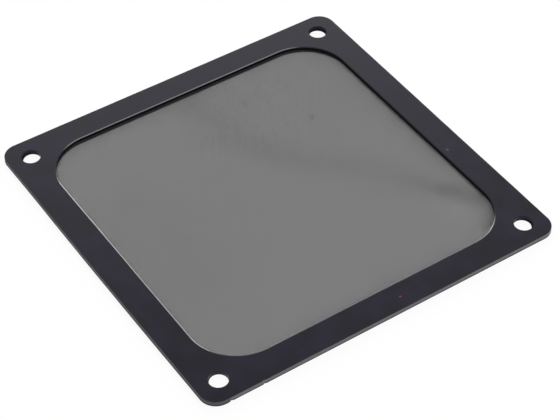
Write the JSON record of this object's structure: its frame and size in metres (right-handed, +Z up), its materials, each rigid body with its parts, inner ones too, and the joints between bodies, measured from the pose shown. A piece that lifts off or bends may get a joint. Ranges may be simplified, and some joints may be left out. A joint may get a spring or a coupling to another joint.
{
  "type": "fan dust filter",
  "caption": "Thin square magnetic dust filter for a case fan: a die-cut flexible magnet ring with screw holes over a fine woven screen and a cover ring.",
  "frame": {"origin": "middle of the underside of the cover ring, at the middle of the window", "axes": "+Z up through the thickness, from the cover ring to the magnet ring; +X and +Y along the straight sides of the square frame"},
  "size_m": [0.12, 0.12, 0.0016],
  "materials": {
    "magnet_rubber": "black satin face with fine mottling, cut edges paler and duller",
    "mesh_thread": "fine black woven thread, open enough to see through",
    "cover_film": "thin black plastic film, satin"
  },
  "bodies": {
    "root": {"magnet_frame": "magnet_rubber", "mesh_screen": "mesh_thread", "cover_frame": "cover_film"}
  },
  "joints": []
}
